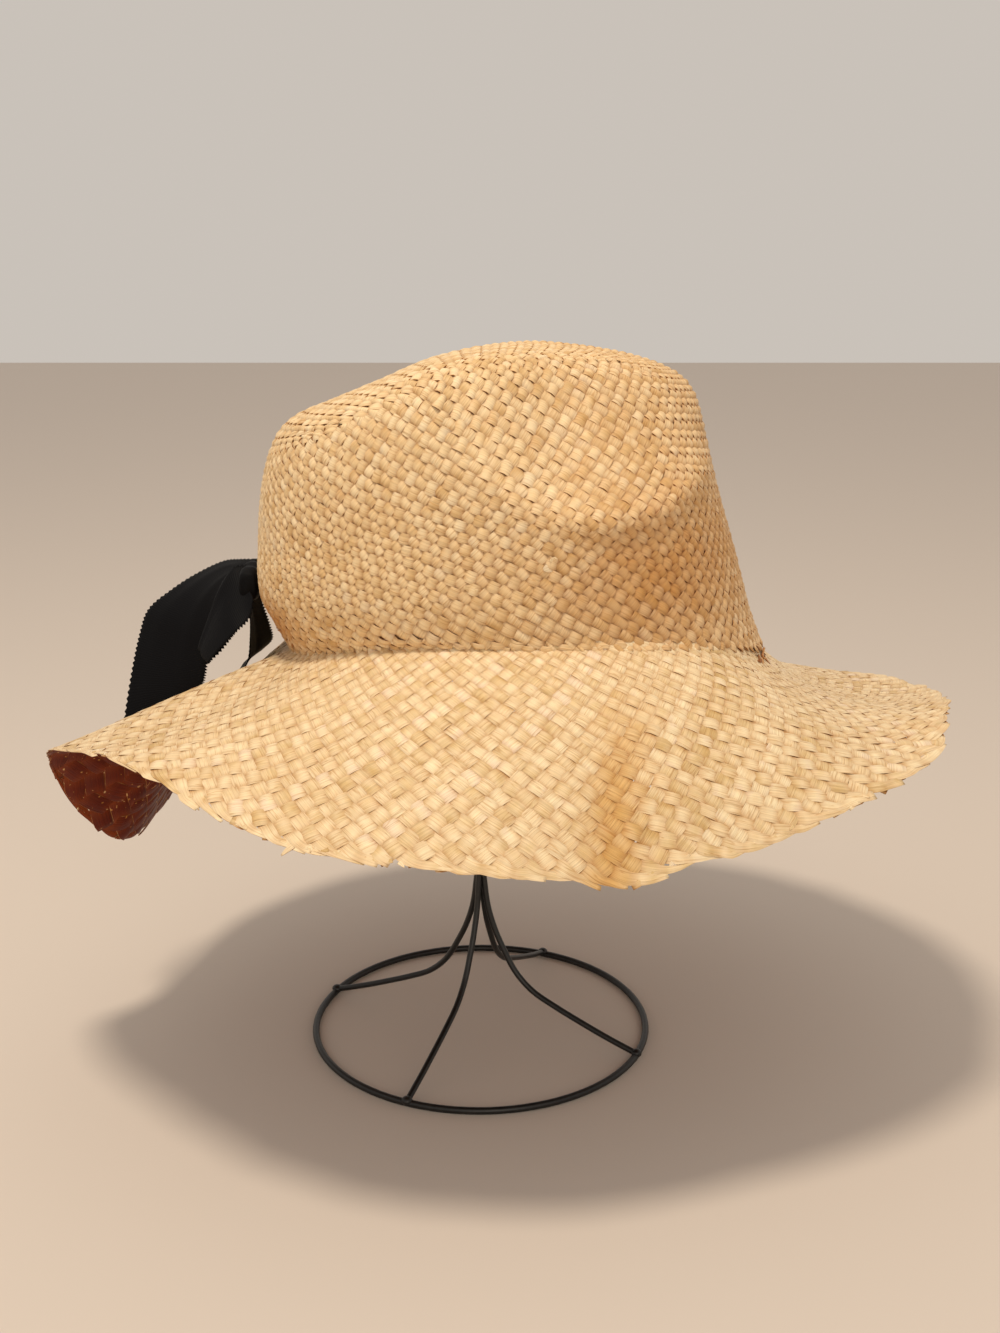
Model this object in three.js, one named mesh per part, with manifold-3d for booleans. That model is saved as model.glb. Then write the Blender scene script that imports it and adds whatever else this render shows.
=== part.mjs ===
// A woven raffia sun hat with a black ribbon bow, on a plain wire hat stand.
// Millimetres, +Z up. The front of the hat points along +X, its back along -X.
// Shapes are worked out with the middle of the stand's base ring at x = 0, y = 0 and
// its underside at z = 0. Angles run from the front of the hat, anticlockwise from above.

import * as THREE from 'three';
import * as BufferGeometryUtils from 'three/addons/utils/BufferGeometryUtils.js';
import Module from 'manifold-3d';

const wasm = await Module();
wasm.setup();

// Straw walls
const STRAW = 1.8;
const CLEARANCE = 0.35;

// Crown: outer half sizes at shares of its height, from the lower edge to the shoulder
const CROWN_SECTIONS = [
  // share, back, front, halfWidth
  [0.00, -84.0, 116.0, 83.5],
  [0.12, -88.7, 111.0, 84.0],
  [0.25, -89.8, 107.0, 83.1],
  [0.35, -89.4, 104.0, 82.0],
  [0.60, -88.0, 96.0, 78.5],
  [0.80, -85.2, 90.5, 74.0],
  [1.00, -80.5, 87.0, 68.0],
];

// Crown: height of its top along the middle, from back to front
const TOP_LINE = [
  // x, height
  [-90, 263],
  [-75, 268],
  [-60, 274],
  [-40, 284],
  [-20, 293],
  [0, 298],
  [20, 300],
  [40, 298.5],
  [60, 295],
  [80, 289],
  [95, 283],
];
const TOP_SIDE_DROP = 3;
const TOP_TILT = 0.07;
const TOP_HALF_WIDTH = 67;
const WALL_RUN = 100;
const TOP_RUN = 80;
const SHOULDER_ROUND = 6;

// The pinch that fingers press into each side of the crown near the front: the wall leans in
// above this line, and bulges into a lip just below it
const PINCH_LINE = [
  // x, height
  [-24, 312],
  [-14, 288],
  [-6, 270],
  [5, 257],
  [22, 247],
  [42, 244],
  [64, 245],
  [76, 249],
  [100, 262],
];
const PINCH = { rise: 52, inward: 33, downward: 4, round: 1.6, hollow: 1.1, middleBlend: 46 };
const PINCH_GROWTH = { least: 0.5, fromX: -10, toX: 38 };
const PINCH_LIP = { outward: 3.2, below: 2, half: 6, fromX: 10, toX: 58 };

// Heights of the crown's lower edge and of the brim's fold at the side, back and front
const CROWN_EDGE = { side: 198.5, back: 189, front: 179 };
const BRIM_FOLD = { side: 197, back: 177, front: 171 };
const FOLD_OVAL = { back: -78, front: 119.5, halfWidth: 83.5 };
const COLLAR_DROP = 0.3;

// Brim: its width along the straw and how steeply it falls, round the hat
const BRIM = [
  // angle, width, slopeAtFold, slopeAtRim
  [0, 84, 40, -16],
  [30, 89, 52, 6],
  [60, 94, 47, 34],
  [90, 99, 40, 48],
  [120, 104, 38, 53],
  [150, 110, 37, 56],
  [168, 117, 36, 66],
  [180, 121, 36, 59],
  [190, 107, 22, 22],
  [205, 95, 29, 3],
  [220, 89, 29, 11],
  [235, 92, 31, 25],
  [250, 94, 30, 38],
  [270, 93, 31, 49],
  [290, 89, 34, 56],
  [310, 80, 26, 45],
  [330, 77, 27, 16],
  [345, 77, 30, -9],
];

// Small waves in the brim that run out from the crown
const RIPPLES = [
  // angle, halfAngle, heightAtRim
  [20, 8, 2.0],
  [62, 9, -3.0],
  [105, 9, 3.0],
  [140, 8, -2.0],
  [215, 7, 1.5],
  [238, 6, -1.5],
  [262, 7, 2.0],
  [281, 5, -3.0],
  [291, 5, 3.0],
  [305, 6, -1.5],
];

// Ribbon bow at the back: a row for each place along a strip, with its two edges
const RIBBON_THICKNESS = 1.2;
const LOOP_THICKNESS = 3.0;
const RIBBON_BOW_OUT = 1.5;
const KNOT = { x: -94.6, y: 6, z: 204, depth: 9, width: 28, height: 19, round: 4 };
const BROAD_TAIL = [
  // farX, farY, farZ, nearX, nearY, nearZ
  [-99.7, 17, 208.6, -99.7, -5, 207.6],
  [-109.0, 25, 206.8, -107.0, -8, 205.5],
  [-122.2, 31, 199.1, -113.0, -3, 198.5],
  [-132.9, 31, 192.1, -115.5, 0, 190.5],
  [-142.9, 29, 183.7, -115.8, 2, 179.5],
  [-146.8, 26, 173.3, -115.5, 4, 168.0],
  [-149.9, 20, 158.0, -116.5, 6, 158.5],
  [-153.1, 13, 137.2, -119.6, 8, 152.6],
  [-154.5, 11, 124.0, -121.0, 9, 147.0],
];
const LOOP = [
  [-101.2, 10, 202.0, -101.2, -5, 200.5],
  [-106.8, 10, 199.0, -103.2, -16, 195.0],
  [-111.0, 10, 191.5, -99.5, -20, 187.5],
  [-113.0, 6, 180.8, -101.5, -18, 180.9],
  [-113.5, 0, 172.4, -108.0, -13, 172.6],
];
const SHORT_TAIL = [
  [-94.8, 17, 194.2, -95.2, 0, 194.2],
  [-93.6, 22, 186.0, -95.8, 2, 186.5],
  [-92.4, 26, 177.5, -96.6, 6, 177.0],
  [-91.8, 28, 169.0, -99.0, 12, 168.0],
];

// Wire stand
const WIRE = 2.6;
const RING_WIRE = 3.0;
const RING_RADIUS = 73;
const FIRST_LEG_ANGLE = 66.4;
const LEG_COUNT = 4;
const POST_SPREAD = 1.6;
const POST_TOP = 252;
const LEG_LINE = [
  // radius, height
  [73, 2.2],
  [60, 6.6],
  [47.5, 11.4],
  [35, 16.6],
  [24.8, 21.7],
  [16.8, 29.2],
  [10.9, 39.3],
  [6.6, 48.5],
  [3.4, 59],
  [POST_SPREAD, 72],
];
const HEAD_RING_RADIUS = 15;
const HEAD_RING_HEIGHT = 290.6;
const HEAD_LINE = [
  [POST_SPREAD, POST_TOP],
  [3.2, 262],
  [7.2, 272],
  [12.2, 281],
  [HEAD_RING_RADIUS, HEAD_RING_HEIGHT],
];

// How finely the curves are divided
const AROUND = 70;
const CROWN_ROWS = 16;
const BRIM_ROWS = 9;
const RING_SEGMENTS = 48;
const HEAD_RING_SEGMENTS = 16;
const WIRE_SIDES = 8;
const LEG_STEPS = 15;
const HEAD_STEPS = 6;
const RIBBON_STEPS = 2;
const RIBBON_ACROSS = 4;

const degrees = Math.PI / 180;

// A smooth curve through the rows of a table. The first column is the place along it.
function readTable(rows, place, period = 0) {
  let table = rows;
  if (period) {
    const before = rows.slice(-2).map(([at, ...values]) => [at - period, ...values]);
    const after = rows.slice(0, 2).map(([at, ...values]) => [at + period, ...values]);
    table = [...before, ...rows, ...after];
  }
  const last = table.length - 1;
  const at = Math.min(Math.max(place, table[0][0]), table[last][0]);
  let i = 0;
  while (i < last - 1 && at >= table[i + 1][0]) i += 1;
  const slope = (row, column) => {
    const a = table[Math.max(row - 1, 0)];
    const b = table[Math.min(row + 1, last)];
    return (b[column] - a[column]) / (b[0] - a[0]);
  };
  const span = table[i + 1][0] - table[i][0];
  const t = (at - table[i][0]) / span;
  return table[i].slice(1).map((value, index) => {
    const column = index + 1;
    return (2 * t ** 3 - 3 * t ** 2 + 1) * value
      + (t ** 3 - 2 * t ** 2 + t) * span * slope(i, column)
      + (3 * t ** 2 - 2 * t ** 3) * table[i + 1][column]
      + (t ** 3 - t ** 2) * span * slope(i + 1, column);
  });
}

// Grows smoothly from 0 to a straight line, over a corner of the given width
function softRamp(value, width) {
  return value > 20 * width ? value : width * Math.log1p(Math.exp(value / width));
}

// Height of a hat edge that rises at the sides and dips at the back and front
function edgeHeight(edge, angle) {
  const forward = Math.cos(angle);
  const end = (edge.front * (1 + forward) + edge.back * (1 - forward)) / 2;
  return edge.side + (end - edge.side) * Math.abs(forward) ** 3;
}

// Presses the pinch into both sides of the crown
function pinch(point) {
  const { lerp, smoothstep } = THREE.MathUtils;
  const above = point.z - readTable(PINCH_LINE, point.x)[0];
  const growth = lerp(PINCH_GROWTH.least, 1, smoothstep(point.x, PINCH_GROWTH.fromX, PINCH_GROWTH.toX));
  const depth = softRamp(above, PINCH.round) / PINCH.rise;
  const press = growth * Math.expm1(-PINCH.hollow * depth) / Math.expm1(-PINCH.hollow);
  const lip = Math.exp(-(((above + PINCH_LIP.below) / PINCH_LIP.half) ** 2))
    * smoothstep(point.x, PINCH_LIP.fromX, PINCH_LIP.toX);
  const side = Math.tanh(point.y / PINCH.middleBlend);
  point.y -= side * (press * PINCH.inward - lip * PINCH_LIP.outward);
  point.z -= Math.abs(side) * press * PINCH.downward;
  return point;
}

// Outer face of the crown. share is 0 at its lower edge and 1 at the middle of the top.
function crownPoint(angle, share) {
  const length = WALL_RUN + TOP_RUN;
  const run = share * length;
  const inward = softRamp(run - WALL_RUN, SHOULDER_ROUND);
  const topRun = softRamp(length - WALL_RUN, SHOULDER_ROUND);
  const up = (run - inward) / (length - topRun);
  const scale = 1 - inward / topRun;
  const [back, front, halfWidth] = readTable(CROWN_SECTIONS, up);
  const x = (front + back) / 2 + (front - back) / 2 * Math.cos(angle) * scale;
  const y = halfWidth * Math.sin(angle) * scale;
  const top = readTable(TOP_LINE, x)[0] - TOP_TILT * y - TOP_SIDE_DROP * (y / TOP_HALF_WIDTH) ** 2;
  const edge = edgeHeight(CROWN_EDGE, angle);
  return pinch(new THREE.Vector3(x, y, edge + up * (top - edge)));
}

// The fold where the brim turns out from its collar, and the way out from there
function brimFold(angle) {
  const { back, front, halfWidth } = FOLD_OVAL;
  const halfLength = (front - back) / 2;
  const outX = halfWidth * Math.cos(angle);
  const outY = halfLength * Math.sin(angle);
  const size = Math.hypot(outX, outY);
  return {
    x: (front + back) / 2 + halfLength * Math.cos(angle),
    y: halfWidth * Math.sin(angle),
    z: edgeHeight(BRIM_FOLD, angle),
    outX: outX / size,
    outY: outY / size,
  };
}

// Upper face of the brim. share is 0 at the fold and 1 at the rim.
function brimPoint(angle, share) {
  const turn = ((angle / degrees) % 360 + 360) % 360;
  const [width, slopeAtFold, slopeAtRim] = readTable(BRIM, turn, 360);
  const first = slopeAtFold * degrees;
  const last = slopeAtRim * degrees;
  const fold = brimFold(angle);
  const bend = share * share / 2;
  const out = width * (Math.cos(first) * share + (Math.cos(last) - Math.cos(first)) * bend);
  let down = width * (Math.sin(first) * share + (Math.sin(last) - Math.sin(first)) * bend);
  for (const [at, halfAngle, height] of RIPPLES) {
    const away = ((turn - at + 540) % 360) - 180;
    down -= height * Math.exp(-((away / halfAngle) ** 2)) * share ** 1.5;
  }
  return new THREE.Vector3(fold.x + fold.outX * out, fold.y + fold.outY * out, fold.z - down);
}

// Direction out of the crown's outer face
function crownNormal(angle, share) {
  const step = 0.001;
  const round = crownPoint(angle + step, share).sub(crownPoint(angle - step, share));
  const up = crownPoint(angle, share + step).sub(crownPoint(angle, Math.max(share - step, 0)));
  return round.cross(up).normalize();
}

// Outer face of the brim's collar, which stands up inside the crown. drop lowers it below
// the place on the crown that it lies against.
function collarPoint(angle, share, drop) {
  const inward = -(STRAW + CLEARANCE);
  const point = crownPoint(angle, share).addScaledVector(crownNormal(angle, share), inward);
  point.z -= drop;
  return point;
}

// Gives a surface of points and triangles its thickness, on the side away from its normals,
// and closes it along every open edge.
function thicken(points, faces, thickness) {
  const surface = new THREE.BufferGeometry();
  surface.setAttribute('position', new THREE.Float32BufferAttribute(points.flatMap((p) => p.toArray()), 3));
  surface.setIndex(faces.flat());
  surface.computeVertexNormals();
  const normals = surface.getAttribute('normal');
  const inner = points.map((point, i) => {
    const normal = new THREE.Vector3().fromBufferAttribute(normals, i);
    return point.clone().addScaledVector(normal, -thickness);
  });
  const count = points.length;
  const edgesOf = ([a, b, c]) => [[a, b], [b, c], [c, a]];
  const known = new Set(faces.flatMap(edgesOf).map(([from, to]) => `${from} ${to}`));
  const open = faces.flatMap(edgesOf).filter(([from, to]) => !known.has(`${to} ${from}`));
  const walls = open.flatMap(([from, to]) => [[to, from, from + count], [to, from + count, to + count]]);
  const insideFaces = faces.map(([a, b, c]) => [c + count, b + count, a + count]);
  const solid = new THREE.BufferGeometry();
  const all = [...points, ...inner];
  solid.setAttribute('position', new THREE.Float32BufferAttribute(all.flatMap((p) => p.toArray()), 3));
  solid.setIndex([...faces, ...insideFaces, ...walls].flat());
  solid.computeVertexNormals();
  return solid;
}

// Triangles between rows of points. A closed row joins its last point to its first.
function rowFaces(rowCount, rowLength, closed) {
  const faces = [];
  for (let row = 0; row < rowCount - 1; row += 1) {
    for (let i = 0; i < (closed ? rowLength : rowLength - 1); i += 1) {
      const next = (i + 1) % rowLength;
      const a = row * rowLength + i;
      const b = row * rowLength + next;
      const c = a + rowLength;
      const d = b + rowLength;
      faces.push([a, b, d], [a, d, c]);
    }
  }
  return faces;
}

function makeCrown() {
  const points = [];
  for (let row = 0; row < CROWN_ROWS; row += 1) {
    for (let i = 0; i < AROUND; i += 1) {
      points.push(crownPoint(i / AROUND * 2 * Math.PI, row / CROWN_ROWS));
    }
  }
  const faces = rowFaces(CROWN_ROWS, AROUND, true);
  const lastRow = (CROWN_ROWS - 1) * AROUND;
  const tip = points.push(crownPoint(0, 1)) - 1;
  for (let i = 0; i < AROUND; i += 1) {
    faces.push([lastRow + i, lastRow + (i + 1) % AROUND, tip]);
  }
  return thicken(points, faces, STRAW);
}

function makeBrim() {
  const points = [];
  const addRow = (pointAt) => {
    for (let i = 0; i < AROUND; i += 1) points.push(pointAt(i / AROUND * 2 * Math.PI));
  };
  addRow((angle) => collarPoint(angle, 1 / CROWN_ROWS, 0));
  addRow((angle) => collarPoint(angle, 0, COLLAR_DROP));
  for (let row = 0; row <= BRIM_ROWS; row += 1) addRow((angle) => brimPoint(angle, row / BRIM_ROWS));
  const rowCount = points.length / AROUND;
  const faces = rowFaces(rowCount, AROUND, true).map(([a, b, c]) => [a, c, b]);
  return thicken(points, faces, STRAW);
}

// A strip of ribbon between its far and near edges, bowed out a little across its width
function makeRibbon(rows, thickness) {
  const table = rows.map((row, index) => [index, ...row]);
  const rowCount = (rows.length - 1) * RIBBON_STEPS + 1;
  const points = [];
  for (let step = 0; step < rowCount; step += 1) {
    const [farX, farY, farZ, nearX, nearY, nearZ] = readTable(table, step / RIBBON_STEPS);
    const far = new THREE.Vector3(farX, farY, farZ);
    const near = new THREE.Vector3(nearX, nearY, nearZ);
    for (let i = 0; i <= RIBBON_ACROSS; i += 1) {
      const share = i / RIBBON_ACROSS;
      const point = far.clone().lerp(near, share);
      point.x -= RIBBON_BOW_OUT * 4 * share * (1 - share);
      points.push(point);
    }
  }
  const faces = rowFaces(rowCount, RIBBON_ACROSS + 1, false).map(([a, b, c]) => [a, c, b]);
  return thicken(points, faces, thickness);
}

// The wrapped middle of the bow: a soft block with rounded sides and ends
function makeKnot() {
  const outline = new THREE.Shape();
  const x = KNOT.depth / 2;
  const z = KNOT.height / 2;
  outline.moveTo(0, -z);
  outline.quadraticCurveTo(x, -z, x, 0);
  outline.quadraticCurveTo(x, z, 0, z);
  outline.quadraticCurveTo(-x, z, -x, z / 2);
  outline.lineTo(-x, -z / 2);
  outline.quadraticCurveTo(-x, -z, 0, -z);
  const block = new THREE.ExtrudeGeometry(outline, {
    depth: KNOT.width - 2 * KNOT.round,
    steps: 2,
    curveSegments: 4,
    bevelThickness: KNOT.round,
    bevelSize: KNOT.round / 2,
    bevelOffset: -KNOT.round / 2,
    bevelSegments: 3,
  });
  block.rotateX(Math.PI / 2);
  block.translate(KNOT.x, KNOT.y + KNOT.width / 2 - KNOT.round, KNOT.z);
  return block;
}

// A wire's section, with a flat side down
function wireSection(diameter) {
  const shape = new THREE.Shape();
  const radius = diameter / 2 / Math.cos(Math.PI / WIRE_SIDES);
  for (let i = 0; i < WIRE_SIDES; i += 1) {
    const angle = (i + 0.5) / WIRE_SIDES * 2 * Math.PI;
    const x = radius * Math.cos(angle);
    const y = radius * Math.sin(angle);
    if (i === 0) shape.moveTo(x, y);
    else shape.lineTo(x, y);
  }
  shape.closePath();
  return shape;
}

function makeWire(line, angle, steps) {
  const points = line.map(([radius, z]) => new THREE.Vector3(radius, 0, z));
  const extrudePath = new THREE.CatmullRomCurve3(points, false, 'centripetal');
  const wire = new THREE.ExtrudeGeometry(wireSection(WIRE), { steps, bevelEnabled: false, extrudePath });
  wire.rotateZ(angle);
  return wire;
}

function makeRing(radius, height, diameter, segments) {
  const section = wireSection(diameter).getPoints();
  const profile = section.map((point) => new THREE.Vector2(radius + point.x, height + point.y));
  const ring = new THREE.LatheGeometry([...profile, profile[0].clone()], segments);
  ring.rotateX(Math.PI / 2);
  return ring;
}

function toSolid(geometry) {
  const bare = geometry.clone();
  bare.deleteAttribute('normal');
  bare.deleteAttribute('uv');
  const merged = BufferGeometryUtils.mergeVertices(bare, 1e-4);
  return new wasm.Manifold(new wasm.Mesh({
    numProp: 3,
    vertProperties: new Float32Array(merged.getAttribute('position').array),
    triVerts: new Uint32Array(merged.getIndex().array),
  }));
}

function toGeometry(solid) {
  const mesh = solid.getMesh();
  const geometry = new THREE.BufferGeometry();
  geometry.setAttribute('position', new THREE.BufferAttribute(new Float32Array(mesh.vertProperties), 3));
  geometry.setIndex(new THREE.BufferAttribute(new Uint32Array(mesh.triVerts), 1));
  geometry.computeVertexNormals();
  return geometry;
}

// Base ring, four legs that rise to a post of four wires, and the small ring that the
// inside of the crown rests on, all welded into one piece
function makeStand() {
  let stand = toSolid(makeRing(RING_RADIUS, RING_WIRE / 2, RING_WIRE, RING_SEGMENTS));
  for (let leg = 0; leg < LEG_COUNT; leg += 1) {
    const angle = (FIRST_LEG_ANGLE + leg * 360 / LEG_COUNT) * degrees;
    const post = [[POST_SPREAD, LEG_LINE.at(-1)[1] - 1], [POST_SPREAD, POST_TOP + 1]];
    stand = stand.add(toSolid(makeWire(LEG_LINE, angle, LEG_STEPS)));
    stand = stand.add(toSolid(makeWire(post, angle, 1)));
    stand = stand.add(toSolid(makeWire(HEAD_LINE, angle, HEAD_STEPS)));
  }
  const headRing = makeRing(HEAD_RING_RADIUS, HEAD_RING_HEIGHT, WIRE, HEAD_RING_SEGMENTS);
  return toGeometry(stand.add(toSolid(headRing)));
}

function makeMesh(name, geometry, color, roughness, metalness) {
  const material = new THREE.MeshStandardMaterial({ color, roughness, metalness });
  const mesh = new THREE.Mesh(geometry, material);
  mesh.name = name;
  return mesh;
}

const hat = new THREE.Group();
hat.add(makeMesh('crown', makeCrown(), 0xd9b27c, 0.75, 0));
hat.add(makeMesh('brim', makeBrim(), 0xf0cc96, 0.75, 0));
hat.add(makeMesh('ribbon_knot', makeKnot(), 0x0c0d10, 0.6, 0));
hat.add(makeMesh('ribbon_tail_broad', makeRibbon(BROAD_TAIL, RIBBON_THICKNESS), 0x0c0d10, 0.6, 0));
hat.add(makeMesh('ribbon_loop', makeRibbon(LOOP, LOOP_THICKNESS), 0x0c0d10, 0.6, 0));
hat.add(makeMesh('ribbon_tail_short', makeRibbon(SHORT_TAIL, RIBBON_THICKNESS), 0x0c0d10, 0.6, 0));
hat.add(makeMesh('wire_stand', makeStand(), 0x121214, 0.45, 0.6));

// The origin is the middle of the bottom of the whole object's box
const box = new THREE.Box3().setFromObject(hat, true);
const middle = box.getCenter(new THREE.Vector3());
hat.position.set(-middle.x, -middle.y, -box.min.z);

const hatOnStand = new THREE.Group();
hatOnStand.add(hat);

export default hatOnStand;
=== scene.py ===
"""A raffia sun hat with a black ribbon bow, resting on a plain wire hat stand.

The straw is plaited strand by strand over the same surfaces as the CAD model: the crown as a
bias-plaited cap, the brim as a flatter plait that turns back on itself at the rim. Points are
worked out in millimetres, with the middle of the stand's base ring at x = 0, y = 0 and its
underside at z = 0. Angles run from the front of the hat (+X), anticlockwise from above.
"""

import math

import bpy
import numpy as np
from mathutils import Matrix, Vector


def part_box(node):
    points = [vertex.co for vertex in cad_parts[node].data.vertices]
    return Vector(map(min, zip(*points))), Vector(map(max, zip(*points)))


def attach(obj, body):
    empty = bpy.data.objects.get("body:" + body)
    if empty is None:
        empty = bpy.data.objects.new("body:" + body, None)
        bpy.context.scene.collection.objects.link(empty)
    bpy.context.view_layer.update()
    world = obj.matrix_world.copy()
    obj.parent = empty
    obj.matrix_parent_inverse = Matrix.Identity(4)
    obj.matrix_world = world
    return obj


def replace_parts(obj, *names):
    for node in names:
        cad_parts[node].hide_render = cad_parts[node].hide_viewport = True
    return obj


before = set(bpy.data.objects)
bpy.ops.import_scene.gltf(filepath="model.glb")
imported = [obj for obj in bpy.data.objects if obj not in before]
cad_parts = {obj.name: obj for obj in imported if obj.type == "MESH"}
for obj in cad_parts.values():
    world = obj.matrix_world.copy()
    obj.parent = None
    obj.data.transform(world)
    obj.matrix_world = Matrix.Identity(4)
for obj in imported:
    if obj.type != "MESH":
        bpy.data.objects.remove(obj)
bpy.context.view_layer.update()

stand_low, stand_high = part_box("wire_stand")
MM = 0.001
RING_MIDDLE = np.array([(stand_low.x + stand_high.x) / 2, (stand_low.y + stand_high.y) / 2, 0.0])
chance = np.random.default_rng(41)

# Crown: how far it reaches at shares of its height, from the lower edge to the shoulder
CROWN_SECTIONS = [
    # share, back, front, half width
    (0.00, -84.0, 116.0, 83.5),
    (0.12, -88.7, 111.0, 84.0),
    (0.25, -89.8, 107.0, 83.1),
    (0.35, -89.4, 104.0, 82.0),
    (0.60, -88.0, 96.0, 78.5),
    (0.80, -85.2, 90.5, 74.0),
    (1.00, -80.5, 87.0, 68.0),
]
# Crown: height of its top along the middle, from back to front
TOP_LINE = [
    # x, height
    (-90, 265), (-75, 271.5), (-60, 276.5), (-40, 284.5), (-20, 293), (0, 298),
    (20, 300), (40, 298.5), (60, 295), (80, 289), (95, 283),
]
TOP_SIDE_DROP, TOP_TILT, TOP_HALF_WIDTH = 3, 0.07, 67
WALL_RUN, TOP_RUN, SHOULDER_ROUND = 100, 80, 6
# The dent that fingers press into each side near the front: the wall leans in above this line
PINCH_LINE = [
    # x, height
    (-24, 312), (-14, 288), (-6, 270), (5, 257), (22, 247), (42, 244), (64, 245), (76, 249),
    (100, 262),
]
PINCH = {"rise": 52, "inward": 33, "downward": 4, "round": 1.6, "hollow": 1.1, "middle_blend": 46}
PINCH_GROWTH = {"least": 0.5, "from_x": -10, "to_x": 38}
PINCH_LIP = {"outward": 3.2, "below": 2, "half": 6, "from_x": 10, "to_x": 58}

# Heights of the crown's lower edge and of the brim's fold at the side, back and front
CROWN_EDGE = {"side": 198.5, "back": 189, "front": 179}
BRIM_FOLD = {"side": 197, "back": 177, "front": 171}
FOLD_OVAL = {"back": -78.0, "front": 119.5, "half_width": 83.5}

# Brim: its width along the straw and how steeply it falls, round the hat
BRIM = [
    # angle, width, slope at the fold, slope at the rim
    (0, 84, 40, -16), (30, 89, 52, 6), (60, 94, 47, 34), (90, 99, 40, 48), (120, 104, 38, 53),
    (150, 110, 37, 56), (168, 119, 36, 66), (180, 121, 36, 59), (190, 107, 17, 27),
    (205, 95, 29, 3), (220, 89, 29, 11), (235, 92, 31, 25), (250, 94, 30, 38), (270, 93, 31, 49),
    (290, 89, 34, 56), (310, 80, 26, 45), (330, 77, 27, 16), (345, 77, 30, -9),
]
# Small waves in the brim that run out from the crown
RIPPLES = [
    # angle, half angle, height at the rim
    (20, 8, 2.0), (62, 9, -3.0), (105, 9, 3.0), (140, 8, -2.0), (215, 7, 1.5),
    (238, 6, -1.5), (262, 7, 0.8), (281, 5, -3.0), (291, 5, 3.0), (305, 6, -1.5),
]

# Plait of the crown, counted in half strands
TOP_HALF = 22
TOP_SIDE = 2 * TOP_HALF
WALL_ROWS = 37
# How far up the wall the rows of the plait lie, closest together above its lower edge
ROW_HEIGHT = [
    # share of the rows from the shoulder down, share of the wall
    (0, 1), (0.26, 0.71), (0.44, 0.52), (0.66, 0.33), (0.88, 0.13), (1, 0), (1.3, -0.3),
]
# The middle of the plait sits behind the middle of the crown, so its rows climb to the front
PLAIT_TILT = 0.075
# Millimetres of straw for each share of the crown, at its lower edge
EDGE_RUN = 150
# How much of the way from its edge down to the brim's fold the crown's plait runs, round the hat
RUN_DOWN = [
    # angle, share of the way
    (0, 0), (40, 0), (62, 0.8), (80, 1), (180, 1), (280, 1), (298, 0.8), (320, 0), (345, 0),
]
SHOULDER_SHARE = WALL_RUN / (WALL_RUN + TOP_RUN)
STRAND_STEPS = 4

# Plait of the brim, counted in half strands
BRIM_AROUND = 208
BRIM_ROWS = 26
# The brim's collar inside the crown: its rows, its length as a share of the brim, how far up the
# crown it ends, and its size there as a share of the crown's
COLLAR_ROWS, COLLAR_SHARE, COLLAR_TUCK, COLLAR_SIZE = 5, 0.12, 0.025, 0.975
RIM_SHARE = 0.962

# Ribbon bow at the back: a row for each place along a strip, with its two edges
BROAD_TAIL = [
    # far x, far y, far z, near x, near y, near z
    (-92.5, 14, 208.8, -92.5, 2, 206.5),
    (-99.7, 17, 208.2, -98.7, 3, 204.5),
    (-109.0, 25, 205.6, -104.0, 5, 200.5),
    (-122.2, 31, 198.6, -108.0, 6, 194.5),
    (-132.9, 31, 191.8, -110.5, 7, 187.5),
    (-142.9, 29, 183.7, -112.5, 7, 178.5),
    (-146.8, 26, 173.3, -114.5, 7, 168.5),
    (-149.9, 20, 158.0, -116.5, 7, 158.5),
    (-153.1, 13, 137.2, -119.6, 8, 152.6),
    (-154.5, 11, 124.0, -121.0, 9, 147.0),
]
LOOP = [
    # far x, far y, far z, near x, near y, near z
    (-95.5, 6, 208.5, -91.5, -10, 198.0),
    (-101.0, 4, 207.5, -92.8, -14, 191.0),
    (-106.5, 2, 200.0, -98.0, -17, 186.0),
    (-111.0, 0, 188.0, -104.5, -17, 179.0),
    (-114.6, -3, 177.0, -110.0, -14, 172.4),
    (-115.0, 1, 174.6, -110.8, -10, 171.4),
    (-112.0, 6, 180.0, -106.0, -6, 175.5),
    (-105.5, 9, 194.0, -98.5, -3, 186.0),
    (-97.5, 10, 205.0, -94.0, 0, 197.0),
]
SHORT_TAIL = [
    # far x, far y, far z, near x, near y, near z
    (-93.2, 15, 198.0, -95.6, 0, 198.0),
    (-92.4, 21, 187.5, -95.4, 4, 188.0),
    (-90.6, 25, 178.0, -96.4, 8, 176.5),
    (-90.4, 28, 170.5, -98.8, 12, 164.5),
    (-95.5, 30, 165.0, -104.5, 15, 157.5),
]
KNOT = {"x": -94.2, "y": 6, "z": 202, "depth": 8.5, "width": 26, "height": 14}

# Wire stand: its legs' wire and its base ring's, and where each leg runs from the ring to the top
WIRE, RING_WIRE, RING_RADIUS = 2.6, 3.0, 73
FIRST_LEG_ANGLE, LEG_COUNT = 66.4, 4
POST_SPREAD, POST_TOP = 1.6, 252
LEG_LINE = [
    # radius, height
    (73, 2.2), (60, 6.6), (47.5, 11.4), (35, 16.6), (24.8, 21.7),
    (16.8, 29.2), (10.9, 39.3), (6.6, 48.5), (3.4, 59), (POST_SPREAD, 72),
]
HEAD_RING_RADIUS, HEAD_RING_HEIGHT = 15, 290.6
HEAD_LINE = [
    # radius, height
    (POST_SPREAD, POST_TOP), (3.2, 262), (7.2, 272), (12.2, 281),
    (HEAD_RING_RADIUS, HEAD_RING_HEIGHT),
]


# Camera: its place in metres from the middle of the stand's ring, its angle and its lens in mm

EYE = (0.0085, -0.6404, 0.3536)
LOOKS_DOWN = 16.3
LENS = 43.21

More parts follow.
